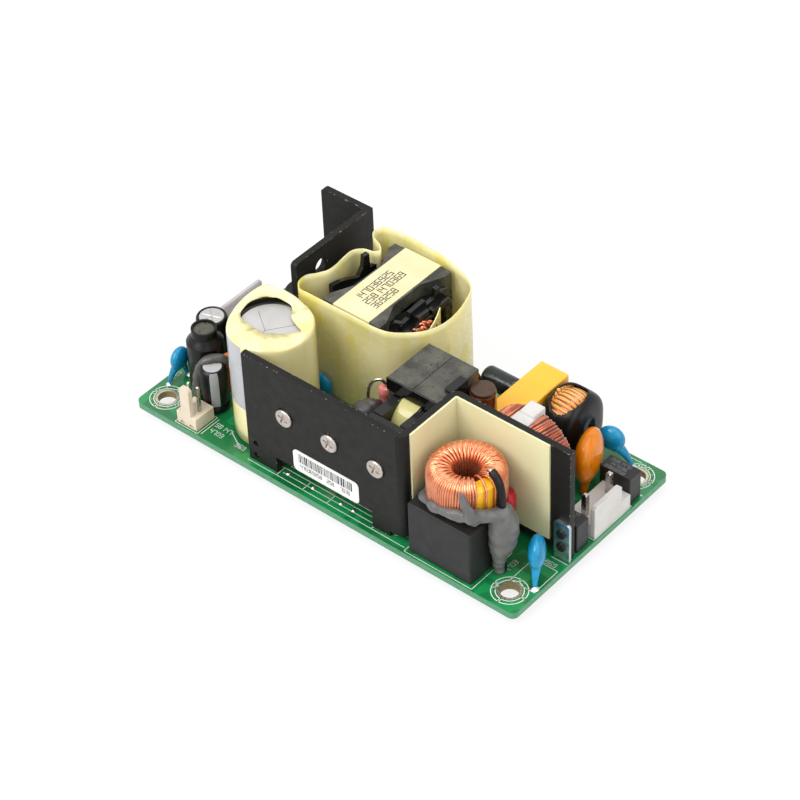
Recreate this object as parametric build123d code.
from build123d import *
import math
import os

# An open-frame mains power supply on a 4 by 2 inch printed circuit board.
# Lengths are in millimetres and angles in degrees. The layout is written from the board's
# top face: x runs from its left end, y from its front edge and z up. place() then moves
# everything to the object's own origin, below its centre at the tips of the trimmed leads.

# Circuit board
board_length = 101.6
board_width = 50.8
board_thickness = 1.6
board_corner_radius = 1.5
mount_hole_diameter = 4.0
mount_hole_inset = 4.76

# Trimmed leads and solder below the board
lead_reach = 2.4
lead_radius = 0.45
solder_radius = 1.0
solder_height = 0.9
lead_edge_margin = 10.5
lead_side_margin = 3.4
lead_pitch_target = 6.8

# Surface-mounted parts below the board
chip_length = 9.8
chip_width = 3.9
chip_height = 1.5
small_chip_length = 3.2
small_chip_width = 1.6
small_chip_height = 0.8
small_chip_count = 8
chip_row_numbers = (2, 4)
chip_columns = (3, 8)

# Folded front heatsink
sheet_thickness = 1.5
fold_radius = 0.4
front_plate_y = 1.9
front_plate_length = 42.0
front_heatsink_height = 28.2
front_heatsink_foot_gap = 1.5
front_plate_lift = 4.2
left_tab_width = 7.6
right_tab_width = 4.6
right_tab_to_fold = 4.2
tab_hole_inset = 2.05
tab_hole_heights = (1.6, 4.9)
bay_depth = 16.5
back_wall_end_margin = 0.6
insulation_thickness = 0.4
insulation_bottom = 3.4
insulation_reach = 23.2
insulation_front_gap = 0.3

# Screws, transistors and their pads on the front plate
device_count = 3
device_pitch = 12.0
device_first_offset = 10.9
device_height_on_plate = 16.8
device_body_width = 10.0
device_body_height = 9.0
device_body_depth = 4.4
device_tab_height = 6.4
device_tab_thickness = 1.3
device_leg_width = 0.8
device_leg_thickness = 0.5
device_leg_pitch = 2.54
device_tab_overlap = 2.8
device_body_top_to_hole = 3.4
pad_thickness = 0.3
pad_margin = 0.1
screw_shaft_radius = 1.25
screw_head_radius = 2.1
screw_head_height = 0.9
screw_head_recess = 0.25
screw_slot_width = 0.7
screw_slot_length = 2.6
screw_slot_depth = 0.5
screw_tip_reach = 1.6

# Blank label on the front plate
label_width = 16.4
label_height = 5.6
label_thickness = 0.12
label_corner_radius = 1.0
label_left_offset = 12.9
label_bottom = 4.8

# Solder foot at the end of the back wall
foot_width = 3.8
foot_height = 9.9
foot_thickness = 0.7
foot_end_margin = 0.2
rivet_radius = 0.75
rivet_height = 0.5
rivet_heights = (3.6, 7.0)

# Bay parts: film capacitor, choke, red capacitor, silicone
film_length = 15.8
film_depth = 11.5
film_height = 13.2
film_front_y = 1.0
film_side_gap = 0.9
bay_choke_side_gap = 1.5
film_corner_radius = 0.5
bay_choke_outer_radius = 8.2
bay_choke_inner_radius = 2.9
bay_choke_height = 10.0
bay_choke_wire = 0.95
bay_choke_ridge = 0.3
bay_choke_turns = 42
bay_choke_gap_angle = 26.0
bay_choke_gap_centre = -20.0
bay_choke_turn_fill = 0.62
bay_choke_y = 9.0
bay_choke_lift = 0.3
bay_lead_radius = 0.75
bay_lead_height = 9.4
bay_lead_angle = -3.0
red_capacitor_radius = 1.8
red_capacitor_height = 6.0
red_capacitor_top = 14.8
red_capacitor_offset = (7.15, 7.05)

# Rear heatsink
rear_heatsink_height = 31.8
rear_plate_x = 22.9
rear_plate_front_y = 26.2
rear_wing_left_x = 11.2
rear_edge_margin = 0.3
rear_hole_radius = 1.75
rear_hole_from_front = 7.6
rear_hole_from_top = 4.8
rear_foot_width = 4.0
rear_corner_radius = 1.0
rectifier_count = 2
rectifier_first_y = 32.2
rectifier_pitch = 11.4
rectifier_height_on_plate = 16.0

# Main transformer
transformer_gap = 1.3
wrap_width = 30.0
wrap_depth = 23.8
wrap_offset = 0.6
wrap_top = 28.0
wrap_bottom = 1.6
wrap_thickness = 0.4
wrap_front_left_radius = 3.4
wrap_front_right_inset = 1.4
wrap_front_right_radius = 7.0
wrap_back_cut_depth = 4.6
wrap_back_cut_length = 5.0
wrap_back_cut_radii = (3.2, 2.6)
wrap_pleat = ((4.7, 0.7, 1.3), (3.7, -2.9, 0.9), (5.8, -5.2, 0.9), (2.6, -8.4, 2.0))
wrap_left_bulge = (0.7, 5.8, 2.0)
transformer_core_gap = 0.2
transformer_core_seam = 0.1
transformer_core_bottom = 3.6
transformer_core_top = 27.3
core_plate_thickness = 3.3
core_waist = 10.4
core_end_width = 15.2
core_leg_depth = 2.2
core_post_radius = 4.6
core_from_wrap_left = 13.9
bobbin_wall = 0.9
winding_radius = 8.7
winding_ridge = 0.28
winding_turns = 13
prong_thickness = 1.0
prong_rise = 1.2
core_band_thickness = 0.12
flange_margin = 0.3
left_rail_width = 1.2
right_rail_width = 2.6
rail_back_margin = 5.7
flange_cut = 2.2
prong_gap = 2.4

# Bulk capacitor
bulk_can_radius = 9.0
bulk_can_height = 27.3
bulk_x = 29.0
bulk_to_plate_end = 2.0
bulk_plate_gap = 0.4
bulk_wrap_thickness = 0.2
bulk_wrap_bottom = 0.9
bulk_wrap_top = 28.1
bulk_opening_length = 14.6
bulk_opening_width = 10.6

# Left group: electrolytics, drum choke, ceramic
tall_capacitor_x = 4.6
tall_capacitor_y = 20.0
tall_capacitor_radius = 3.4
tall_capacitor_height = 12.5
small_capacitor_x = 14.6
small_capacitor_y = 9.3
small_capacitor_radius = 3.0
small_capacitor_height = 11.0
drum_choke_x = 8.65
drum_choke_y = 13.6
drum_choke_radius = 4.0
drum_choke_height = 15.5
drum_neck_radius = 2.75
drum_neck_length = 1.8
drum_shoulder = 1.6
sleeve_lip = 0.45
drum_core_drop = 0.5
drum_core_bottom = 0.8
orange_capacitor_x = 14.7
orange_capacitor_y = 14.2
orange_capacitor_z = 9.2
orange_capacitor_radius = 1.5
output_capacitor_radius = 4.0
output_capacitor_height = 12.0
output_capacitor_x = 13.8
output_capacitor_first_y = 29.3
output_capacitor_pitch = 9.6
output_capacitor_count = 2
can_groove_depth = 0.25
can_groove_height = 0.8
can_groove_from_base = 1.2
can_edge_radius = 0.4

# Fan header, two pins
fan_header_x = 14.35
fan_header_front_y = 0.7
fan_header_length = 5.5
fan_header_depth = 5.5
fan_header_base = 3.2
fan_wall_width = 2.7
fan_wall_height = 10.4
fan_wall_thickness = 1.1
fan_rib_width = 0.8
fan_rib_depth = 0.7
fan_rib_height = 7.0
fan_pin_pitch = 2.54
fan_pin_size = 0.64
fan_pin_height = 9.7
fan_pin_count = 2

# Power headers
power_pitch = 3.96
power_pin_size = 1.14
power_pin_height = 8.7
power_base = 3.4
power_depth = 6.9
power_wall_thickness = 1.0
power_end_wall = 1.4
mains_wall_height = 8.2
mains_positions = 3
mains_edge_margin = 0.4
mains_centre_y = 32.2
mains_wall_length = 8.9
output_positions = 4
output_edge_margin = 1.2
output_front_y = 23.7
output_wall_height = 9.4

# Fuses in moulded boxes
fuse_length = 7.6
fuse_width = 3.8
fuse_height = 7.1
fuse_edge_margin = 0.7
fuse_front_y = 20.9
fuse_rear_gap = 0.1
fuse_edge_radius = 0.25

# Common-mode choke standing behind the back wall
common_outer_radius = 10.2
common_inner_radius = 4.6
common_width = 8.6
common_wall_gap = 0.6
common_base_height = 4.9
common_wire = 1.0
common_ridge = 0.3
common_turns = 13
common_turn_fill = 0.62
common_winding_arc = 146.0
common_base_length = 14.0
common_base_recess = 0.7
amber_to_common = 0.3
common_base_rise = 1.6
spacer_width = 4.2
spacer_rise = 0.5
spacer_inside = 1.2
spacer_clearance = 0.15

# X capacitor in a yellow box
x_capacitor_gap = 1.1
x_capacitor_width = 7.2
x_capacitor_front_gap = 2.3
x_capacitor_height = 14.6
x_capacitor_back_margin = 1.4
x_capacitor_edge_radius = 0.4

# Small choke in a black sleeve
small_choke_gap = 0.3
small_choke_width = 9.0
small_choke_radius = 6.5
small_choke_z = 9.8
small_choke_back_margin = 6.9
small_choke_shrink = 0.5
small_choke_hole = 2.2
small_choke_wire = 0.9
small_choke_ridge = 0.28
small_choke_turns = 24
small_choke_turn_fill = 0.6
small_choke_rounding = 1.56
small_choke_end_gap = 0.1
window_length = 8.2
window_depth = 2.6
window_side_margin = 0.9

# Varistor drop
varistor_fuse_gap = 2.8
varistor_common_gap = 9.3
varistor_z = 7.8
varistor_diameter = 11.0
varistor_thickness = 5.0
varistor_angle = 110.0

# Blue disc capacitors: centre height, diameter, thickness, angle of the disc
front_disc = (5.4, 7.8, 3.8, 123.0)
rear_disc = (5.4, 6.6, 3.0, 12.0)
left_disc = (5.0, 5.8, 3.0, 75.0)
middle_disc = (5.6, 6.0, 2.2, 0.0)
front_disc_end_margin = 3.3
front_disc_y = 11.7
rear_disc_end_margin = 11.2
rear_disc_back_margin = 3.6
left_disc_x = 2.6
left_disc_y = 10.6
middle_disc_x = 33.6
middle_disc_wrap_gap = 1.7
lead_spacing_share = 0.78
lead_skirt_top_radius = 0.95
lead_skirt_tip_radius = 0.4

# Power-factor choke
pfc_gap = 0.2
pfc_front_y = 17.6
pfc_length = 12.9
pfc_depth = 13.0
pfc_top = 24.5
pfc_bottom = 3.5
pfc_leg_height = 3.0
pfc_end_thickness = 3.6
pfc_flange_thickness = 0.6
pfc_coil_overhang = 4.7
pfc_coil_radius = 6.0
pfc_post_depth = 8.0
pfc_post_height = 6.0
pfc_flange_margin = 0.5
pfc_seam = 0.15
pfc_rail_length = 9.4
pfc_rail_front_y = 8.9
pfc_rail_depth = 2.0
pfc_rail_top = 21.0
pfc_rail_arm_height = 3.0
pfc_lip_thickness = 0.4
pfc_lip_height = 3.0
pfc_clip_length = 5.0
pfc_clip_from_front = 3.4
pfc_clip_thickness = 1.0

# Small parts round the power-factor choke
pfc_to_amber = 0.2
amber_choke_gap = 0.45
amber_choke_radius = 2.75
amber_choke_height = 21.8
amber_tape_thickness = 0.25
amber_core_rise = 0.8
amber_tape_bottom = 1.0
auxiliary_x = 51.8
auxiliary_y = 14.6
auxiliary_radius = 2.6
auxiliary_height = 17.2
bleeder_x = 52.6
bleeder_y = 20.4
bleeder_radius = 1.5
bleeder_body_height = 7.6
bleeder_body_bottom = 10.8
bleeder_loop_radius = 1.9
bleeder_wire_radius = 0.35
bleeder_wire_rise = 0.2
thermistor_gap = 0.7
thermistor_back_margin = 8.2
thermistor_leg_inset = 1.6
thermistor_leg_radius = 0.5
thermistor_z = 10.4
thermistor_length = 8.6
thermistor_radius = 2.4

# Silicone beads
bead_radius = 2.7
bead_height = 14.2
bay_ring_height = 1.7
bay_ring_reach = 0.9
left_bead_radius = 1.15
left_bead_gap = 0.15

# Values worked out from the sizes above
full_turn = 360.0
plate_back_y = front_plate_y + sheet_thickness
bulk_wrap_radius = bulk_can_radius + bulk_wrap_thickness
bulk_y = plate_back_y + bulk_plate_gap + bulk_wrap_radius
front_plate_left = bulk_x + bulk_to_plate_end
fold_x = front_plate_left + front_plate_length
back_wall_y = front_plate_y + bay_depth
back_wall_end = board_length - back_wall_end_margin
device_xs = [front_plate_left + device_first_offset + i * device_pitch for i in range(device_count)]
film_left = fold_x + insulation_thickness + film_side_gap
bay_choke_x = fold_x + insulation_thickness + bay_choke_side_gap + bay_choke_outer_radius
bay_choke_bottom = film_height + bay_choke_lift
rear_plate_right = rear_plate_x + sheet_thickness
rear_wing_back = board_width - rear_edge_margin
rectifier_ys = [rectifier_first_y + i * rectifier_pitch for i in range(rectifier_count)]
wrap_left = rear_plate_right + transformer_gap
wrap_front = (bulk_y + bulk_wrap_radius + board_width - wrap_depth) / 2 + wrap_offset
wrap_back = wrap_front + wrap_depth
core_x = wrap_left + core_from_wrap_left
core_front = wrap_front + wrap_thickness
core_back = wrap_back - wrap_thickness - transformer_core_gap
core_y = (core_front + core_back) / 2
mains_length = (mains_positions - 1) * power_pitch + power_pin_size + 2 * power_end_wall
mains_right = board_length - mains_edge_margin
fuse_right = board_length - fuse_edge_margin
fuse_rear_y = mains_centre_y + mains_length / 2 + fuse_rear_gap
common_front = back_wall_y + sheet_thickness + common_wall_gap
common_back = common_front + common_width
pfc_left_x = wrap_left + wrap_width + pfc_gap
x_capacitor_x = pfc_left_x + pfc_length + x_capacitor_gap
amber_choke_x = pfc_left_x + pfc_length + pfc_to_amber + amber_choke_radius
common_x = amber_choke_x + amber_choke_radius + amber_to_common + common_outer_radius
common_y = common_front + common_width / 2
common_z = common_base_height + common_outer_radius
x_capacitor_back = board_width - x_capacitor_back_margin
x_capacitor_front = common_back + x_capacitor_front_gap
small_choke_x = x_capacitor_x + x_capacitor_width + small_choke_gap + small_choke_width / 2
small_choke_y = board_width - small_choke_back_margin
varistor_x = fuse_right - fuse_length - varistor_fuse_gap
varistor_y = common_back + varistor_common_gap
thermistor_x = x_capacitor_x - thermistor_gap - thermistor_length
thermistor_y = board_width - thermistor_back_margin
amber_choke_y = x_capacitor_front - amber_choke_gap - amber_choke_radius
disc_places = [
    (board_length - front_disc_end_margin, front_disc_y),
    (board_length - rear_disc_end_margin, board_width - rear_disc_back_margin),
    (left_disc_x, left_disc_y),
    (middle_disc_x, wrap_front - middle_disc_wrap_gap),
]


def block(x_range, y_range, z_range):
    """Box between two x, two y and two z values."""
    size = [b - a for a, b in (x_range, y_range, z_range)]
    middle = [(a + b) / 2 for a, b in (x_range, y_range, z_range)]
    return Pos(*middle) * Box(*size)


def post(x, y, z_range, radius):
    """Upright cylinder between two heights."""
    bottom, top = z_range
    return Pos(x, y, (bottom + top) / 2) * Cylinder(radius, top - bottom)


def square_pin(x, y, z_range, size):
    """Upright square pin with chamfered tip."""
    half = size / 2
    pin = block((x - half, x + half), (y - half, y + half), z_range)
    return chamfer(pin.faces().sort_by(Axis.Z)[-1].edges(), size * 0.25)


def soft_block(x_range, y_range, z_range, radius):
    """Box with all its edges rounded."""
    return fillet(block(x_range, y_range, z_range).edges(), radius)


def group(shapes):
    """Several separate solids as one part."""
    solids = []
    for shape in shapes:
        solids.extend(shape.solids())
    return Compound(children=solids)


def circuit_board():
    board = block((0, board_length), (0, board_width), (-board_thickness, 0))
    board = fillet(board.edges().filter_by(Axis.Z), board_corner_radius)
    for x in (mount_hole_inset, board_length - mount_hole_inset):
        for y in (mount_hole_inset, board_width - mount_hole_inset):
            board -= post(x, y, (-2 * board_thickness, board_thickness), mount_hole_diameter / 2)
    return board


def lead_places():
    """Lead positions: a staggered grid over the board's underside, clear of the mount holes."""
    span_x = board_length - 2 * lead_edge_margin
    span_y = board_width - 2 * lead_side_margin
    columns = int(span_x // lead_pitch_target) + 1
    rows = int(span_y // lead_pitch_target)
    places = []
    for i in range(columns):
        for j in range(0, rows, 2):
            shift = (i % 2) * span_y / rows
            x = lead_edge_margin + i * span_x / (columns - 1)
            places.append((x, lead_side_margin + j * span_y / rows + shift))
    return places


def solder_joints():
    """Trimmed component leads, each in a cone of solder."""
    underside = -board_thickness
    joints = []
    for x, y in lead_places():
        cone = Pos(x, y, underside - solder_height / 2) * Cone(lead_radius, solder_radius, solder_height)
        joints.append(cone + post(x, y, (underside - lead_reach, underside), lead_radius))
    return group(joints)


def chip_rows():
    """Rows between the leads: y of the control chips and of the small chips."""
    span_y = board_width - 2 * lead_side_margin
    step = span_y / int(span_y // lead_pitch_target)
    return [lead_side_margin + (row + 0.5) * step for row in chip_row_numbers]


def surface_parts():
    """Control chips and small chips soldered flat below the board."""
    underside = -board_thickness
    chip_y, row_y = chip_rows()
    span_x = board_length - 2 * lead_edge_margin
    pitch = span_x / int(span_x // lead_pitch_target)
    parts = []
    for column in chip_columns:
        x = lead_edge_margin + column * pitch
        body = block((x - chip_length / 2, x + chip_length / 2), (chip_y - chip_width / 2, chip_y + chip_width / 2),
                     (underside - chip_height, underside))
        body = chamfer(body.faces().sort_by(Axis.Z)[0].edges(), chip_height * 0.2)
        parts.append(body)
    for i in range(small_chip_count):
        x = lead_edge_margin + (i + 2) * pitch
        parts.append(block((x - small_chip_length / 2, x + small_chip_length / 2),
                           (row_y - small_chip_width / 2, row_y + small_chip_width / 2),
                           (underside - small_chip_height, underside)))
    return group(parts)


def rounded_outline(corners):
    """Closed flat outline from corner points, each with its own rounding radius."""
    face = make_face(Polyline(*[point for point, _ in corners], close=True).edges())
    for point, radius in corners:
        if radius > 0:
            vertex = face.vertices().sort_by_distance(Vertex(*point, 0))[0]
            face = fillet(vertex, radius)
    return face


def front_heatsink():
    """One folded sheet: front plate, side wall, back wall, with tabs down to the board."""
    t = sheet_thickness
    outer = fold_radius + t
    sheet = extrude(rounded_outline([
        ((front_plate_left, front_plate_y), 0), ((fold_x, front_plate_y), outer),
        ((fold_x, back_wall_y), fold_radius), ((back_wall_end, back_wall_y), 0),
        ((back_wall_end, back_wall_y + t), 0), ((fold_x - t, back_wall_y + t), outer),
        ((fold_x - t, plate_back_y), fold_radius), ((front_plate_left, plate_back_y), 0),
    ]), front_heatsink_height)
    right_tab = fold_x - right_tab_to_fold
    sheet -= block((front_plate_left + left_tab_width, right_tab - right_tab_width),
                   (0, plate_back_y + t), (-t, front_plate_lift))
    sheet -= block((right_tab, board_length), (0, board_width), (-t, front_heatsink_foot_gap))
    sheet += wall_leg()
    for x in device_xs:
        sheet -= Pos(x, front_plate_y + t / 2, device_height_on_plate) * Rot(90, 0, 0) * Cylinder(
            screw_shaft_radius, 2 * t)
        sheet -= screw_seat(x)
    for x, z in rivet_holes():
        sheet -= Pos(x, front_plate_y, z) * Rot(90, 0, 0) * Cylinder(rivet_radius, t)
    for x, z in foot_rivet_places():
        sheet -= Pos(x, back_wall_y, z) * Rot(90, 0, 0) * Cylinder(rivet_radius, 4 * t)
    return sheet


def wall_leg():
    """Leg of the back wall that stands on the board next to the solder foot."""
    t = sheet_thickness
    return block((back_wall_end - foot_width, back_wall_end), (back_wall_y, back_wall_y + t),
                 (0, front_heatsink_foot_gap + t))


def rivet_holes():
    """Two small blind holes low on the plate's left tab."""
    x = front_plate_left + tab_hole_inset
    return [(x, z) for z in tab_hole_heights]


def screw_seat(x):
    """Flat recess for one screw head."""
    depth = screw_head_recess
    return Pos(x, front_plate_y + depth / 2, device_height_on_plate) * Rot(90, 0, 0) * Cylinder(
        screw_head_radius + 0.15, depth)


def cross_screw():
    """Screw along +Y with its head's seat at y 0 and a cross recess in front."""
    reach = sheet_thickness - screw_head_recess + pad_thickness + device_tab_thickness + screw_tip_reach
    head = Pos(0, -screw_head_height / 2, 0) * Rot(90, 0, 0) * Cylinder(screw_head_radius, screw_head_height)
    head = fillet(head.faces().sort_by(Axis.Y)[0].edges(), screw_head_height * 0.45)
    shaft = Pos(0, reach / 2, 0) * Rot(90, 0, 0) * Cylinder(screw_shaft_radius, reach)
    screw = head + shaft
    for angle in (0, 90):
        slot = Box(screw_slot_length, 2 * screw_slot_depth, screw_slot_width)
        screw -= Pos(0, -screw_head_height, 0) * Rot(0, angle + 20, 0) * slot
    return screw


def heatsink_screws():
    """Three cross-head screws through the front plate and two through the rectifier tabs."""
    y = front_plate_y + screw_head_recess
    screws = [Pos(x, y, device_height_on_plate) * cross_screw() for x in device_xs]
    seat_x = rear_plate_x - device_tab_thickness
    for rectifier_y in rectifier_ys:
        screw = Pos(seat_x, rectifier_y, rectifier_height_on_plate) * Rot(0, 0, -90) * short_screw()
        screws.append(screw)
    return group(screws)


def short_screw():
    """Screw along +Y that ends flush with the rear heatsink's far face."""
    reach = device_tab_thickness + sheet_thickness
    head = Pos(0, -screw_head_height / 2, 0) * Rot(90, 0, 0) * Cylinder(screw_head_radius, screw_head_height)
    head = fillet(head.faces().sort_by(Axis.Y)[0].edges(), screw_head_height * 0.45)
    return head + Pos(0, reach / 2, 0) * Rot(90, 0, 0) * Cylinder(screw_shaft_radius, reach)


def power_device(hole_height):
    """Transistor with its metal tab's back at y 0 and its screw hole at x 0 and the given height."""
    body_top = hole_height - device_body_top_to_hole
    body_bottom = body_top - device_body_height
    half = device_body_width / 2
    body = block((-half, half), (0, device_body_depth), (body_bottom, body_top))
    body = chamfer(body.edges().filter_by(Axis.Z).group_by(Axis.Y)[-1], 0.5)
    tab_top = body_top + device_tab_height
    tab = block((-half, half), (0, device_tab_thickness), (body_top - device_tab_overlap, tab_top))
    device = body + tab
    device -= Pos(0, device_tab_thickness / 2, hole_height) * Rot(90, 0, 0) * Cylinder(
        screw_shaft_radius, 2 * device_tab_thickness)
    for i in (-1, 0, 1):
        x = i * device_leg_pitch
        half_leg = device_leg_width / 2
        depth = device_body_depth * 0.5
        device += block((x - half_leg, x + half_leg), (depth, depth + device_leg_thickness), (0, body_bottom))
    return device


def power_transistors():
    tab_y = plate_back_y + pad_thickness
    return group([Pos(x, tab_y, 0) * power_device(device_height_on_plate) for x in device_xs])


def transistor_pads():
    """Thin insulating pads between the front plate and the transistor tabs."""
    half = device_body_width / 2 + pad_margin
    bottom = device_height_on_plate - device_body_top_to_hole - device_body_height
    top = device_height_on_plate - device_body_top_to_hole + device_tab_height + pad_margin
    pads = []
    for x in device_xs:
        pad = block((x - half, x + half), (plate_back_y, plate_back_y + pad_thickness), (bottom, top))
        hole = Pos(x, plate_back_y, device_height_on_plate) * Rot(90, 0, 0) * Cylinder(screw_shaft_radius, sheet_thickness)
        pads.append(pad - hole)
    return group(pads)


def output_rectifiers():
    device = Rot(0, 0, 90) * power_device(rectifier_height_on_plate)
    return group([Pos(rear_plate_x, y, 0) * device for y in rectifier_ys])


def insulation_sheet():
    """Folded insulating sheet that lines the bay side of the heatsink."""
    t = insulation_thickness
    front = front_plate_y + fold_radius + sheet_thickness
    z_range = (insulation_bottom, front_heatsink_height)
    side = block((fold_x, fold_x + t), (front + insulation_front_gap, back_wall_y - t), z_range)
    back = block((fold_x, fold_x + insulation_reach), (back_wall_y - t, back_wall_y), z_range)
    sheet = side + back
    sheet -= fold_relief()
    return sheet


def fold_relief():
    """Round of the sheet metal's inner fold, taken off the insulation's outer corner."""
    radius = fold_radius
    z_range = (0, 2 * front_heatsink_height)
    corner = block((fold_x, fold_x + radius), (back_wall_y - radius, back_wall_y), z_range)
    return corner - post(fold_x + radius, back_wall_y - radius, z_range, radius)


def label():
    """Blank self-adhesive label on the front plate."""
    left = front_plate_left + label_left_offset
    plate = block((left, left + label_width), (front_plate_y - label_thickness, front_plate_y),
                  (label_bottom, label_bottom + label_height))
    return fillet(plate.edges().filter_by(Axis.Y), label_corner_radius)


def foot_x_range():
    right = board_length - foot_end_margin
    return right - foot_width, right


def solder_foot():
    """Tinned plate riveted to the back wall's end and soldered into the board."""
    left, right = foot_x_range()
    plate = block((left, right), (back_wall_y - foot_thickness, back_wall_y), (0, foot_height))
    plate = fillet(plate.edges().filter_by(Axis.Y).group_by(Axis.Z)[-1], foot_width * 0.2)
    for x, z in foot_rivet_places():
        plate -= Pos(x, back_wall_y, z) * Rot(90, 0, 0) * Cylinder(rivet_radius, 4 * foot_thickness)
    return plate


def foot_rivet_places():
    left, right = foot_x_range()
    return [((left + right) / 2, z) for z in rivet_heights]


def foot_rivets():
    rivets = []
    shaft = foot_thickness + sheet_thickness
    for x, z in foot_rivet_places():
        front = back_wall_y - foot_thickness
        head = Pos(x, front - rivet_height / 2, z) * Rot(90, 0, 0) * Cylinder(rivet_radius * 1.5, rivet_height)
        head = fillet(head.faces().sort_by(Axis.Y)[0].edges(), rivet_height * 0.6)
        rivets.append(head + Pos(x, front + shaft / 2, z) * Rot(90, 0, 0) * Cylinder(rivet_radius, shaft))
    return group(rivets)


def film_capacitor():
    return soft_block((film_left, film_left + film_length), (film_front_y, film_front_y + film_depth),
                      (0, film_height), film_corner_radius)


def ring_winding(inner, outer, height, wire, ridge, turns, fill, start, arc):
    """Wire turns round a ring core with its axis on Z: a thin skin with one rib for each turn."""
    centre = Pos((inner + outer) / 2, 0)
    core = centre * Rectangle(outer - inner, height)
    skin = centre * Rectangle(outer - inner + 2 * (wire - ridge), height + 2 * (wire - ridge))
    rib = centre * Rectangle(outer - inner + 2 * wire, height + 2 * wire)
    rib = chamfer(rib.vertices(), wire * 0.5)
    pitch = arc / turns
    winding = Rot(0, 0, start + pitch * 0.2) * revolve(Plane.XZ * (skin - core), Axis.Z, arc - pitch * 0.4)
    ribs = []
    for i in range(turns):
        angle = start + pitch * (i + 0.5 - fill / 2)
        ribs.append(Rot(0, 0, angle) * revolve(Plane.XZ * (rib - core), Axis.Z, pitch * fill))
    return winding.fuse(*ribs)


def bay_core_sizes():
    """Inner radius, outer radius and height of the bay choke's core."""
    wire = bay_choke_wire
    return bay_choke_inner_radius + wire, bay_choke_outer_radius - wire, bay_choke_height - 2 * wire


def bay_choke_place():
    return Pos(bay_choke_x, bay_choke_y, bay_choke_bottom + bay_choke_height / 2)


def bay_choke_core():
    inner, outer, height = bay_core_sizes()
    return bay_choke_place() * (Cylinder(outer, height) - Cylinder(inner, 2 * height))


def bay_choke_winding():
    inner, outer, height = bay_core_sizes()
    start = bay_choke_gap_centre + bay_choke_gap_angle / 2
    return bay_choke_place() * ring_winding(
        inner, outer, height, bay_choke_wire, bay_choke_ridge, bay_choke_turns, bay_choke_turn_fill,
        start, full_turn - bay_choke_gap_angle)


def bay_lead_xy():
    """Place of the choke's sleeved lead, just outside the winding."""
    reach = bay_choke_outer_radius + bay_lead_radius + 0.1
    angle = math.radians(bay_lead_angle)
    return bay_choke_x + reach * math.cos(angle), bay_choke_y + reach * math.sin(angle)


def bay_choke_lead():
    """Sleeved end of the choke's wire, down beside the winding to the board."""
    x, y = bay_lead_xy()
    top = bay_choke_bottom + bay_lead_height
    lead = post(x, y, (0, top), bay_lead_radius)
    return fillet(lead.faces().sort_by(Axis.Z)[-1].edges(), bay_lead_radius * 0.6)


def drop_capacitor(x, y, top, height, radius):
    """Dipped capacitor on two short leads."""
    body = post(x, y, (top - height, top), radius)
    body = fillet(body.edges(), radius * 0.6)
    for side in (-1, 1):
        body += post(x + side * radius * 0.45, y, (0, top - height * 0.8), 0.3)
    return body


def red_capacitor():
    dx, dy = red_capacitor_offset
    return drop_capacitor(bay_choke_x + dx, bay_choke_y + dy, red_capacitor_top, red_capacitor_height,
                          red_capacitor_radius)


def bay_bead():
    """Silicone column beside the film capacitor, round the choke's lead."""
    x, y = bay_lead_xy()
    bead = post(x, y, (0, bead_height), bead_radius)
    bead = fillet(bead.faces().sort_by(Axis.Z)[-1].edges(), bead_radius * 0.8)
    bead -= film_capacitor_space()
    bead -= post(x, y, (-1, bay_choke_bottom + bay_lead_height + 1), bay_lead_radius)
    return bead - choke_space()


def film_capacitor_space():
    return block((film_left, film_left + film_length), (film_front_y, film_front_y + film_depth),
                 (-1, film_height))


def choke_space():
    """Room that the bay choke's winding takes up."""
    top = bay_choke_bottom + bay_choke_height
    return post(bay_choke_x, bay_choke_y, (bay_choke_bottom, top), bay_choke_outer_radius + 0.05)


def bay_ring():
    """Silicone between the choke and the top of the film capacitor."""
    ring = post(bay_choke_x, bay_choke_y, (film_height, film_height + bay_ring_height),
                bay_choke_outer_radius + bay_ring_reach)
    ring = fillet(ring.faces().sort_by(Axis.Z)[-1].edges(), bay_ring_reach * 0.7)
    ring -= choke_space()
    x, y = bay_lead_xy()
    ring -= post(x, y, (0, 2 * film_height), bead_radius + 0.1)
    room = block((film_left, film_left + film_length), (film_front_y + 0.1, film_front_y + film_depth),
                 (film_height, film_height + 2 * bay_ring_height))
    return ring & room


def left_bead():
    """Silicone string between the drum choke and the small electrolytic."""
    gap_x = (drum_choke_x + small_capacitor_x) / 2
    dx = small_capacitor_x - drum_choke_x
    dy = small_capacitor_y - drum_choke_y
    length = math.hypot(dx, dy)
    middle = (drum_choke_radius + (length - small_capacitor_radius)) / 2
    x = drum_choke_x + dx / length * middle - dy / length * -2.2
    y = drum_choke_y + dy / length * middle + dx / length * -2.2
    bead = post(x, y, (0, small_capacitor_height), left_bead_radius)
    bead = fillet(bead.faces().sort_by(Axis.Z)[-1].edges(), left_bead_radius * 0.8)
    bead -= post(drum_choke_x, drum_choke_y, (-1, 2 * gap_x), drum_choke_radius + left_bead_gap)
    return bead - post(small_capacitor_x, small_capacitor_y, (-1, 2 * gap_x),
                       small_capacitor_radius + left_bead_gap)


def silicone_beads():
    return group([bay_bead(), bay_ring(), left_bead()])


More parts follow.
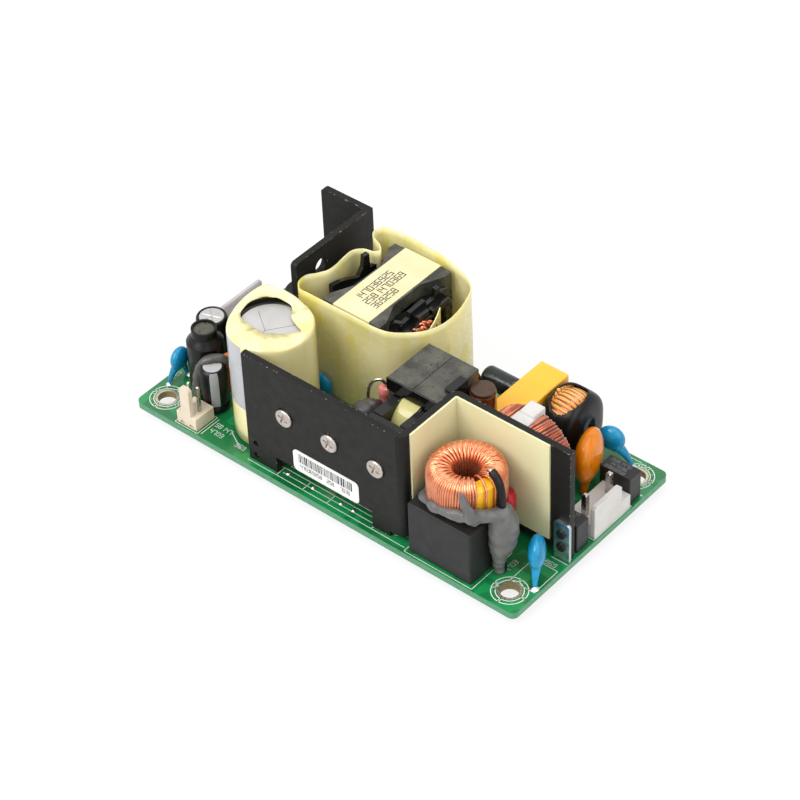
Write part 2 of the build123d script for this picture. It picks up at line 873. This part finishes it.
def rear_heatsink():
    """One folded sheet: a plate along Y and a wing along the board's back edge."""
    t = sheet_thickness
    z_range = (front_heatsink_foot_gap, rear_heatsink_height)
    plate = block((rear_plate_x, rear_plate_right), (rear_plate_front_y, rear_wing_back), z_range)
    plate = fillet(plate.edges().filter_by(Axis.X).group_by(Axis.Z)[-1].sort_by(Axis.Y)[0], rear_corner_radius)
    wing = block((rear_wing_left_x, rear_plate_right), (rear_wing_back - t, rear_wing_back), z_range)
    wing = fillet(wing.edges().filter_by(Axis.Y).group_by(Axis.Z)[-1], rear_corner_radius)
    sheet = plate + wing
    for y in (rear_plate_front_y, rear_wing_back - t - rear_foot_width):
        sheet += block((rear_plate_x, rear_plate_right), (y, y + rear_foot_width), (0, 2 * t))
    sheet += block((rear_wing_left_x, rear_wing_left_x + rear_foot_width), (rear_wing_back - t, rear_wing_back),
                   (0, 2 * t))
    hole_y = rear_plate_front_y + rear_hole_from_front
    hole_z = rear_heatsink_height - rear_hole_from_top
    sheet -= Pos(rear_plate_x + t / 2, hole_y, hole_z) * Rot(0, 90, 0) * Cylinder(rear_hole_radius, 2 * t)
    for y in rectifier_ys:
        sheet -= Pos(rear_plate_x + t / 2, y, rectifier_height_on_plate) * Rot(0, 90, 0) * Cylinder(
            screw_shaft_radius, 2 * t)
    return sheet


def wrap_outline():
    """Outline of the tape round the main transformer, with its pleat at the back left."""
    left, front, back = wrap_left, wrap_front, wrap_back
    right = wrap_left + wrap_width
    corners = [
        ((left, front), wrap_front_left_radius),
        ((right - wrap_front_right_inset, front), wrap_front_right_radius),
        ((right, back - wrap_back_cut_depth), wrap_back_cut_radii[0]),
        ((right - wrap_back_cut_length, back), wrap_back_cut_radii[1]),
    ]
    corners += [((left + dx, back + dy), radius) for dx, dy, radius in wrap_pleat]
    dx, dy, radius = wrap_left_bulge
    return rounded_outline(corners + [((left + dx, front + dy), radius)])


def transformer_wrap():
    """Yellow tape standing round the transformer as a thin wall."""
    outline = wrap_outline()
    inner = offset(outline, amount=-wrap_thickness)
    return Pos(0, 0, wrap_bottom) * extrude(outline - inner, wrap_top - wrap_bottom)


def core_plate_face():
    """Butterfly outline of a core half, centred on the origin."""
    half_depth = (core_back - core_front) / 2
    waist, end = core_waist / 2, core_end_width / 2
    flat = half_depth - core_leg_depth
    points = [(end, half_depth), (end, flat), (waist, flat * 0.45), (waist, -flat * 0.45), (end, -flat),
              (end, -half_depth), (-end, -half_depth), (-end, -flat), (-waist, -flat * 0.45),
              (-waist, flat * 0.45), (-end, flat), (-end, half_depth)]
    return make_face(Polyline(*points, close=True).edges())


def core_half():
    """Upper core half: butterfly plate at the top, two legs and a round post down to the joint."""
    half_height = (transformer_core_top - transformer_core_bottom) / 2
    plate = Pos(0, 0, half_height - core_plate_thickness) * extrude(core_plate_face(), core_plate_thickness)
    half_depth = (core_back - core_front) / 2
    reach = half_height - transformer_core_seam / 2
    half = plate + Pos(0, 0, half_height - reach / 2) * Cylinder(core_post_radius, reach)
    for side in (-1, 1):
        y = side * (half_depth - core_leg_depth / 2)
        half += Pos(0, y, half_height - reach / 2) * Box(core_end_width, core_leg_depth, reach)
    return half


def transformer_core():
    """Two identical ferrite halves that meet at the seam."""
    place = Pos(core_x, core_y, (transformer_core_bottom + transformer_core_top) / 2)
    return group([place * core_half(), place * Rot(180, 0, 0) * core_half()])


def core_window():
    """Lower and upper height of the space between the core's plates."""
    return transformer_core_bottom + core_plate_thickness, transformer_core_top - core_plate_thickness


def transformer_bobbin():
    """Tube with two flanges, legs down to the board and prongs beside the core's top plate."""
    low, high = core_window()
    wall = bobbin_wall
    bobbin = post(core_x, core_y, (low, high), core_post_radius + wall)
    half_depth = (core_back - core_front) / 2 - core_leg_depth
    half_width = winding_radius + flange_margin
    for z in (low, high - wall):
        bobbin += block((core_x - half_width, core_x + half_width), (core_y - half_depth, core_y + half_depth),
                        (z, z + wall))
    y_range = (core_y - half_depth, core_y + half_depth - rail_back_margin)
    corner_x = (core_x - half_width, core_x - half_width + flange_cut)
    bobbin -= block(corner_x, (y_range[1], core_y + half_depth), (low, high))
    bobbin += side_rail(core_x - half_width, -left_rail_width, y_range)
    bobbin += side_rail(core_x + half_width, right_rail_width, y_range)
    return bobbin - post(core_x, core_y, (0, 2 * high), core_post_radius)


def side_rail(inner_x, reach, y_range):
    """Pin rail below and prongs above, on one side of the core. A negative reach is towards -X."""
    low, high = core_window()
    top = transformer_core_top + prong_rise
    front, back = y_range
    x_range = sorted((inner_x, inner_x + reach))
    rail = block(x_range, y_range, (0, low + bobbin_wall))
    rail += block(x_range, y_range, (high - bobbin_wall, high))
    middle = (front + back) / 2
    for start, end in ((front, middle - prong_gap / 2), (middle + prong_gap / 2, back)):
        wall = sorted((inner_x + reach, inner_x + reach - math.copysign(prong_thickness, reach)))
        rail += block(wall, (start, end), (high - bobbin_wall, top))
    bar = sorted((core_x + math.copysign(core_waist / 2 + prong_gap / 4, reach), inner_x + reach))
    rail += block(bar, (start, start + prong_thickness), (high - bobbin_wall, top))
    return rail


def transformer_winding():
    """Copper layers round the bobbin tube, ridged turn by turn."""
    low, high = core_window()
    low += bobbin_wall
    high -= bobbin_wall
    inner = core_post_radius + bobbin_wall
    pitch = (high - low) / winding_turns
    edges = [Line((inner, low), (winding_radius - winding_ridge, low))]
    for i in range(winding_turns):
        z = low + i * pitch
        rim = winding_radius - winding_ridge
        edges.append(ThreePointArc((rim, z), (winding_radius, z + pitch / 2), (rim, z + pitch)))
    edges.append(Line((winding_radius - winding_ridge, high), (inner, high)))
    edges.append(Line((inner, high), (inner, low)))
    section = Plane.XZ * make_face(Wire(edges))
    return Pos(core_x, core_y, 0) * revolve(section, Axis.Z)


def core_band():
    """Pale tape along the top of the core."""
    half = core_waist / 2 - 0.4
    return block((core_x - half, core_x + half), (core_front, core_back),
                 (transformer_core_top, transformer_core_top + core_band_thickness))


def sleeved_can(x, y, radius, height):
    """Electrolytic capacitor: rounded can with a rolled groove near its base."""
    can = post(x, y, (0, height), radius)
    can = fillet(can.faces().sort_by(Axis.Z)[-1].edges(), can_edge_radius)
    groove = post(x, y, (can_groove_from_base, can_groove_from_base + can_groove_height), radius + 1)
    groove -= post(x, y, (0, height), radius - can_groove_depth)
    return can - groove


def bulk_capacitor():
    return sleeved_can(bulk_x, bulk_y, bulk_can_radius, bulk_can_height)


def bulk_wrap():
    """Yellow tape round the bulk capacitor, folded over its top round a pointed opening."""
    outer = bulk_wrap_radius
    wrap = post(bulk_x, bulk_y, (bulk_wrap_bottom, bulk_wrap_top), outer)
    wrap = fillet(wrap.faces().sort_by(Axis.Z)[-1].edges(), 0.5)
    wrap -= post(bulk_x, bulk_y, (0, bulk_can_height), bulk_can_radius)
    half = bulk_opening_length / 2
    dip = bulk_opening_width / 2
    lens = make_face([ThreePointArc((-half, 0), (0, dip), (half, 0)), ThreePointArc((half, 0), (0, -dip), (-half, 0))])
    opening = extrude(lens, 4 * (bulk_wrap_top - bulk_can_height))
    return wrap - Pos(bulk_x, bulk_y, bulk_can_height - 0.5) * Rot(0, 0, 25) * opening


def output_capacitors():
    """Output electrolytics between the output header and the rectifiers."""
    cans = []
    for i in range(output_capacitor_count):
        y = output_capacitor_first_y + i * output_capacitor_pitch
        cans.append(sleeved_can(output_capacitor_x, y, output_capacitor_radius, output_capacitor_height))
    return group(cans)


def drum_choke_sleeve():
    """Heat-shrink sleeve of the drum choke, drawn in to a neck at the top."""
    shoulder = drum_choke_height - drum_neck_length - drum_shoulder
    points = [(0, 0), (drum_choke_radius - 0.3, 0), (drum_choke_radius, 0.8), (drum_choke_radius, shoulder),
              (drum_neck_radius, shoulder + drum_shoulder), (drum_neck_radius, drum_choke_height), (0, drum_choke_height)]
    sleeve = Plane.XZ * make_face(Polyline(*points, close=True).edges())
    bore = post(0, 0, (drum_core_bottom, 2 * drum_choke_height), drum_neck_radius - sleeve_lip)
    return Pos(drum_choke_x, drum_choke_y, 0) * (revolve(sleeve, Axis.Z) - bore)


def drum_choke_core():
    """Ferrite drum inside the sleeve, seen at the open top of the neck."""
    top = drum_choke_height - drum_core_drop
    return post(drum_choke_x, drum_choke_y, (drum_core_bottom, top), drum_neck_radius - sleeve_lip)


def orange_capacitor():
    return drop_capacitor(orange_capacitor_x, orange_capacitor_y, orange_capacitor_z + orange_capacitor_radius,
                          2 * orange_capacitor_radius, orange_capacitor_radius)


def fan_header_housing():
    """Two-way header base with its friction wall at the front."""
    left = fan_header_x - fan_header_length / 2
    right = fan_header_x + fan_header_length / 2
    front, back = fan_header_front_y, fan_header_front_y + fan_header_depth
    housing = block((left, right), (front, back), (0, fan_header_base))
    wall_half = fan_wall_width / 2
    wall = block((fan_header_x - wall_half, fan_header_x + wall_half), (front, front + fan_wall_thickness),
                 (0, fan_wall_height))
    wall = chamfer(wall.edges().filter_by(Axis.Y).group_by(Axis.Z)[-1], 0.5)
    rib_half = fan_rib_width / 2
    rib = block((fan_header_x - rib_half, fan_header_x + rib_half),
                (front, front + fan_wall_thickness + fan_rib_depth), (0, fan_rib_height))
    housing = housing + wall + rib
    for x in fan_pin_xs():
        housing -= block((x - fan_pin_size / 2, x + fan_pin_size / 2), (fan_pin_y() - fan_pin_size / 2,
                         fan_pin_y() + fan_pin_size / 2), (-1, fan_header_base + 1))
        housing -= block((x - 0.5, x + 0.5), (front - 1, front + 0.5), (0.2, 1.0))
    return housing


def fan_pin_y():
    return fan_header_front_y + fan_header_depth * 0.52


def fan_pin_xs():
    first = fan_header_x - (fan_pin_count - 1) * fan_pin_pitch / 2
    return [first + i * fan_pin_pitch for i in range(fan_pin_count)]


def fan_header_pins():
    return group([square_pin(x, fan_pin_y(), (0, fan_pin_height), fan_pin_size) for x in fan_pin_xs()])


def power_housing(length, wall_length, wall_height, pin_ys):
    """Power header with its outer wall at x 0, its base towards -X and its length centred on y 0."""
    half = length / 2
    housing = block((-power_depth, 0), (-half, half), (0, power_base))
    wall = block((-power_wall_thickness, 0), (-half, -half + wall_length), (0, wall_height))
    wall = chamfer(wall.edges().filter_by(Axis.X).group_by(Axis.Z)[-1], 0.6)
    housing += wall
    pin_half = power_pin_size / 2
    for y in pin_ys:
        housing -= block((power_pin_x() - pin_half, power_pin_x() + pin_half), (y - pin_half, y + pin_half),
                         (-1, power_base + 1))
    return housing


def power_pin_x():
    """Distance of the pin row from the header's outer face, as a negative x."""
    return -power_depth * 0.56


def mains_pin_ys():
    """Outer positions only: the centre pin is left out to space the mains contacts."""
    reach = (mains_positions - 1) * power_pitch / 2
    return [-reach, reach]


def output_pin_ys():
    first = -(output_positions - 1) * power_pitch / 2
    return [first + i * power_pitch for i in range(output_positions)]


def mains_header_housing():
    housing = power_housing(mains_length, mains_wall_length, mains_wall_height, mains_pin_ys())
    return Pos(mains_right, mains_centre_y, 0) * housing


def mains_header_pins():
    pins = [square_pin(mains_right + power_pin_x(), mains_centre_y + y, (0, power_pin_height), power_pin_size)
            for y in mains_pin_ys()]
    return group(pins)


def output_header_length():
    return (output_positions - 1) * power_pitch + power_pin_size + 2 * power_end_wall * 0.6


def output_header_place():
    y = output_front_y + output_header_length() / 2
    return Pos(output_edge_margin, y, 0) * Rot(0, 0, 180)


def output_header_housing():
    length = output_header_length()
    return output_header_place() * power_housing(length, length, output_wall_height, output_pin_ys())


def output_header_pins():
    pins = [square_pin(power_pin_x(), y, (0, power_pin_height), power_pin_size) for y in output_pin_ys()]
    return group([output_header_place() * pin for pin in pins])


def mains_fuses():
    """Two fuses in black moulded boxes, one on each side of the mains header."""
    fuses = []
    for y in (fuse_front_y, fuse_rear_y):
        fuses.append(soft_block((fuse_right - fuse_length, fuse_right), (y, y + fuse_width), (0, fuse_height),
                                fuse_edge_radius))
    return group(fuses)


def common_place():
    """The choke's ring stands upright, with its axis along Y."""
    return Pos(common_x, common_y, common_z) * Rot(-90, 0, 0)


def common_core_sizes():
    wire = common_wire
    return common_inner_radius + wire, common_outer_radius - wire, common_width - 2 * wire


def common_mode_core():
    inner, outer, height = common_core_sizes()
    return common_place() * (Cylinder(outer, height) - Cylinder(inner, 2 * height))


def common_mode_winding(side):
    """One of the two windings: side 1 is towards +X, side -1 towards -X."""
    inner, outer, height = common_core_sizes()
    centre = 0 if side > 0 else 180
    winding = ring_winding(inner, outer, height, common_wire, common_ridge, common_turns, common_turn_fill,
                           centre - common_winding_arc / 2, common_winding_arc)
    return common_place() * winding


def common_mode_spacer():
    """White divider over the ring's top, in the gap between the two windings."""
    inner, outer, height = common_core_sizes()
    top = common_outer_radius + spacer_rise
    low = inner - spacer_inside
    half = spacer_width / 2
    low_half = low * math.tan(math.radians(90 - common_winding_arc / 2)) - spacer_clearance
    knee = (half + spacer_clearance) / math.tan(math.radians(90 - common_winding_arc / 2))
    outline = [(-low_half, low), (low_half, low), (half, knee), (half, top), (-half, top), (-half, knee)]
    saddle = extrude(Plane.XZ * make_face(Polyline(*outline, close=True).edges()), common_width / 2, both=True)
    saddle -= Rot(90, 0, 0) * (Cylinder(outer, height) - Cylinder(inner, 2 * height))
    limit = Rot(90, 0, 0) * Cylinder(top, 2 * common_width)
    return Pos(common_x, common_y, common_z) * (saddle & limit)


def common_mode_base():
    """Black plastic foot that carries the ring."""
    half = common_base_length / 2
    y_range = (common_y - common_width / 2 + common_base_recess, common_y + common_width / 2 - common_base_recess)
    base = block((common_x - half, common_x + half), y_range, (0, common_base_height + common_base_rise))
    room = Pos(common_x, common_y, common_z) * Rot(90, 0, 0) * Cylinder(common_outer_radius, 2 * common_width)
    return base - room


def x_capacitor():
    return soft_block((x_capacitor_x, x_capacitor_x + x_capacitor_width),
                      (x_capacitor_front, x_capacitor_back), (0, x_capacitor_height),
                      x_capacitor_edge_radius)


def small_choke_place():
    """Ring with its axis along X."""
    return Pos(small_choke_x, small_choke_y, small_choke_z) * Rot(0, 90, 0)


def small_core_sizes():
    """Inner radius, outer radius and width of the small choke's core."""
    grow = small_choke_wire + small_choke_shrink
    return small_choke_hole + small_choke_wire, small_choke_radius - grow, small_choke_width - 2 * grow


def small_choke_core():
    inner, outer, height = small_core_sizes()
    return small_choke_place() * (Cylinder(outer, height) - Cylinder(inner, 2 * height))


def small_choke_winding():
    inner, outer, height = small_core_sizes()
    return small_choke_place() * ring_winding(
        inner, outer, height, small_choke_wire, small_choke_ridge, small_choke_turns, small_choke_turn_fill,
        0, full_turn - small_choke_end_gap)


def small_choke_sleeve():
    """Heat-shrink over the small choke, down to the board, with a window over the top turns."""
    half = small_choke_width / 2
    body = small_choke_place() * Cylinder(small_choke_radius, small_choke_width)
    skirt = block((small_choke_x - half, small_choke_x + half),
                  (small_choke_y - small_choke_radius, small_choke_y + small_choke_radius), (0, small_choke_z))
    body += skirt
    body = fillet(body.edges().filter_by(GeomType.CIRCLE), small_choke_rounding)
    inner_radius = small_choke_radius - small_choke_shrink
    body -= small_choke_place() * Cylinder(inner_radius, small_choke_width - 2 * small_choke_shrink)
    window = block((small_choke_x - half + window_side_margin, small_choke_x + half - window_side_margin),
                   (small_choke_y - window_length / 2, small_choke_y + window_length / 2),
                   (small_choke_z + small_choke_radius - window_depth, small_choke_z + 2 * small_choke_radius))
    return body - window


def round_disc(diameter, thickness):
    """Disc centred on the origin with a rounded rim, its thickness along Y."""
    disc = Rot(90, 0, 0) * Cylinder(diameter / 2, thickness)
    return fillet(disc.edges().filter_by(GeomType.CIRCLE), thickness * 0.47)


def disc_part(x, y, z, diameter, thickness, angle):
    """Dipped disc on two coated leads, standing in a plane turned by the angle about Z."""
    body = Pos(0, 0, z) * round_disc(diameter, thickness)
    reach = diameter / 2 * lead_spacing_share
    for side in (-1, 1):
        skirt = Pos(side * reach, 0, z / 2) * Cone(lead_skirt_tip_radius, lead_skirt_top_radius, z)
        body += skirt
    return Pos(x, y, 0) * Rot(0, 0, angle) * body


def disc_capacitors():
    discs = (front_disc, rear_disc, left_disc, middle_disc)
    return group([disc_part(x, y, *disc) for (x, y), disc in zip(disc_places, discs)])


def varistor():
    return disc_part(varistor_x, varistor_y, varistor_z, varistor_diameter, varistor_thickness, varistor_angle)


def pfc_x_range():
    return pfc_left_x, pfc_left_x + pfc_length


def pfc_core_half():
    """Left E half: end plate, upper and lower legs, and half of the middle post."""
    left, right = pfc_x_range()
    middle = (left + right) / 2
    front, back = pfc_front_y, pfc_front_y + pfc_depth
    centre_y = (front + back) / 2
    centre_z = (pfc_top + pfc_bottom) / 2
    end = block((left, left + pfc_end_thickness), (front, back), (pfc_bottom, pfc_top))
    upper = block((left, middle - pfc_seam / 2), (front, back), (pfc_top - pfc_leg_height, pfc_top))
    lower = block((left, middle - pfc_seam / 2), (front, back), (pfc_bottom, pfc_bottom + pfc_leg_height))
    half_depth, half_height = pfc_post_depth / 2, pfc_post_height / 2
    centre = block((left, middle - pfc_seam / 2), (centre_y - half_depth, centre_y + half_depth),
                   (centre_z - half_height, centre_z + half_height))
    return end + upper + lower + centre


def pfc_core():
    """Two ferrite E halves that meet at the seam."""
    left, right = pfc_x_range()
    half = pfc_core_half()
    mirrored = mirror(half, Plane.YZ.offset((left + right) / 2))
    return group([half, mirrored])


def pfc_window():
    """x range inside the core's end plates."""
    left, right = pfc_x_range()
    return left + pfc_end_thickness, right - pfc_end_thickness


def pfc_oval(margin):
    """Rounded outline of the coil in the YZ plane, grown by a margin."""
    depth = pfc_depth + 2 * pfc_coil_overhang + 2 * margin
    height = pfc_top - pfc_bottom - 2 * pfc_leg_height - 0.1
    return RectangleRounded(depth, height, min(pfc_coil_radius, height / 2 - 0.2))


def pfc_slice(face, x_range):
    """Extrude a YZ face over an x range, centred on the core."""
    centre_y = pfc_front_y + pfc_depth / 2
    centre_z = (pfc_top + pfc_bottom) / 2
    plane = Plane(origin=(x_range[0], centre_y, centre_z), x_dir=(0, 1, 0), z_dir=(1, 0, 0))
    return extrude(plane * face, x_range[1] - x_range[0])


def pfc_bobbin():
    """Square tube with two flanges, a pin rail in front and a lip below the core's top edge."""
    inner_left, inner_right = pfc_window()
    t = pfc_flange_thickness
    flange_face = pfc_oval(pfc_flange_margin)
    tube_face = Rectangle(pfc_post_depth + 2 * t, pfc_post_height + 2 * t)
    bobbin = pfc_slice(flange_face, (inner_left, inner_left + t))
    bobbin += pfc_slice(flange_face, (inner_right - t, inner_right))
    bobbin += pfc_slice(tube_face, (inner_left, inner_right))
    bobbin -= pfc_slice(Rectangle(pfc_post_depth, pfc_post_height), (inner_left - 1, inner_right + 1))
    middle = (inner_left + inner_right) / 2
    rail_x = (middle - pfc_rail_length / 2, middle + pfc_rail_length / 2)
    rail_y = (pfc_rail_front_y, pfc_rail_front_y + pfc_rail_depth)
    rail = block(rail_x, rail_y, (0, pfc_rail_top))
    bobbin += chamfer(rail.edges().filter_by(Axis.X).group_by(Axis.Z)[-1], 0.3)
    arm_z = (pfc_rail_top - pfc_rail_arm_height, pfc_rail_top)
    for x_range in ((rail_x[0], inner_left + t), (inner_right - t, rail_x[1])):
        bobbin += block(x_range, (rail_y[1], pfc_front_y), arm_z)
    return bobbin


def pfc_lip():
    """Glossy strip of the bobbin along the core's front top edge."""
    left, right = pfc_x_range()
    return block((left, right), (pfc_front_y - pfc_lip_thickness, pfc_front_y),
                 (pfc_top - pfc_lip_height, pfc_top + 0.1))


def pfc_clip():
    """Black clip over the core's right top edge."""
    _, right = pfc_x_range()
    t = pfc_clip_thickness
    y = pfc_front_y + pfc_clip_from_front
    top = block((right - t, right + t), (y, y + pfc_clip_length), (pfc_top, pfc_top + t))
    side = block((right, right + t), (y, y + pfc_clip_length), (pfc_top - 3 * t, pfc_top + t))
    return top + side


def pfc_fittings():
    """Bobbin, front lip and edge clip of the power-factor choke."""
    return group([pfc_bobbin(), pfc_lip(), pfc_clip()])


def pfc_winding():
    """Taped coil between the bobbin's flanges."""
    inner_left, inner_right = pfc_window()
    t = pfc_flange_thickness
    x_range = (inner_left + t, inner_right - t)
    coil = pfc_slice(pfc_oval(0), x_range)
    hole = Rectangle(pfc_post_depth + 2 * t, pfc_post_height + 2 * t)
    return coil - pfc_slice(hole, (x_range[0] - 1, x_range[1] + 1))


def amber_choke_core():
    top = amber_choke_height + amber_core_rise
    return post(amber_choke_x, amber_choke_y, (0, top), amber_choke_radius - amber_tape_thickness)


def amber_choke_tape():
    t = amber_tape_thickness
    tape = post(amber_choke_x, amber_choke_y, (amber_tape_bottom, amber_choke_height), amber_choke_radius)
    return tape - post(amber_choke_x, amber_choke_y, (0, amber_choke_height + 1), amber_choke_radius - t)


def bleeder_resistor():
    """Upright resistor body with its upper lead looped over and down to the board."""
    top = bleeder_body_bottom + bleeder_body_height
    body = post(bleeder_x, bleeder_y, (bleeder_body_bottom, top), bleeder_radius)
    body = fillet(body.edges(), bleeder_radius * 0.45)
    body += post(bleeder_x, bleeder_y, (0, top + bleeder_wire_rise), bleeder_wire_radius)
    far_x = bleeder_x - 2 * bleeder_loop_radius
    origin = (bleeder_x - bleeder_loop_radius, bleeder_y, top + bleeder_wire_rise)
    loop_plane = Plane(origin=origin, z_dir=(0, -1, 0), x_dir=(1, 0, 0))
    ring = Torus(bleeder_loop_radius, bleeder_wire_radius)
    loop = loop_plane * ring
    reach = 2 * bleeder_loop_radius
    loop &= block((far_x - reach, bleeder_x + reach), (bleeder_y - reach, bleeder_y + reach),
                  (top + bleeder_wire_rise, top + 2 * reach))
    return body + loop + post(far_x, bleeder_y, (0, top + bleeder_wire_rise), bleeder_wire_radius)


def thermistor():
    """Sleeved cylinder lying along X on two legs."""
    right = thermistor_x + thermistor_length
    body = Pos((thermistor_x + right) / 2, thermistor_y, thermistor_z) * Rot(0, 90, 0) * Cylinder(
        thermistor_radius, thermistor_length)
    body = fillet(body.edges(), thermistor_radius * 0.45)
    for x in (thermistor_x + thermistor_leg_inset, right - thermistor_leg_inset):
        body += post(x, thermistor_y, (0, thermistor_z), thermistor_leg_radius)
    return body


def make_parts():
    """Every sub-part by name, in the layout frame."""
    return {
        "circuit_board": circuit_board(),
        "solder_joints": solder_joints(),
        "surface_parts": surface_parts(),
        "front_heatsink": front_heatsink(),
        "rear_heatsink": rear_heatsink(),
        "heatsink_screws": heatsink_screws(),
        "power_transistors": power_transistors(),
        "transistor_pads": transistor_pads(),
        "output_rectifiers": output_rectifiers(),
        "insulation_sheet": insulation_sheet(),
        "blank_label": label(),
        "solder_foot": solder_foot(),
        "foot_rivets": foot_rivets(),
        "film_capacitor": film_capacitor(),
        "bay_choke_core": bay_choke_core(),
        "bay_choke_winding": bay_choke_winding(),
        "bay_choke_lead": bay_choke_lead(),
        "red_capacitor": red_capacitor(),
        "silicone_beads": silicone_beads(),
        "transformer_core": transformer_core(),
        "transformer_bobbin": transformer_bobbin(),
        "transformer_winding": transformer_winding(),
        "transformer_core_band": core_band(),
        "transformer_wrap": transformer_wrap(),
        "bulk_capacitor_can": bulk_capacitor(),
        "bulk_capacitor_wrap": bulk_wrap(),
        "output_capacitors": output_capacitors(),
        "tall_electrolytic": sleeved_can(tall_capacitor_x, tall_capacitor_y, tall_capacitor_radius,
                                         tall_capacitor_height),
        "small_electrolytic": sleeved_can(small_capacitor_x, small_capacitor_y, small_capacitor_radius,
                                          small_capacitor_height),
        "auxiliary_electrolytic": sleeved_can(auxiliary_x, auxiliary_y, auxiliary_radius, auxiliary_height),
        "drum_choke_sleeve": drum_choke_sleeve(),
        "drum_choke_core": drum_choke_core(),
        "orange_capacitor": orange_capacitor(),
        "fan_header_housing": fan_header_housing(),
        "fan_header_pins": fan_header_pins(),
        "mains_header_housing": mains_header_housing(),
        "mains_header_pins": mains_header_pins(),
        "output_header_housing": output_header_housing(),
        "output_header_pins": output_header_pins(),
        "mains_fuses": mains_fuses(),
        "common_mode_core": common_mode_core(),
        "common_mode_winding_right": common_mode_winding(1),
        "common_mode_winding_left": common_mode_winding(-1),
        "common_mode_spacer": common_mode_spacer(),
        "common_mode_base": common_mode_base(),
        "x_capacitor": x_capacitor(),
        "small_choke_core": small_choke_core(),
        "small_choke_winding": small_choke_winding(),
        "small_choke_sleeve": small_choke_sleeve(),
        "varistor": varistor(),
        "pfc_core": pfc_core(),
        "pfc_bobbin": pfc_fittings(),
        "pfc_winding": pfc_winding(),
        "amber_choke_core": amber_choke_core(),
        "amber_choke_tape": amber_choke_tape(),
        "bleeder_resistor": bleeder_resistor(),
        "thermistor": thermistor(),
        "disc_capacitors": disc_capacitors(),
    }


def place():
    """From the layout frame to the object's own frame."""
    return Location((-board_length / 2, -board_width / 2, board_thickness + lead_reach))


os.makedirs("parts", exist_ok=True)
for name, shape in make_parts().items():
    export_step(place() * shape, "parts/" + name + ".step")
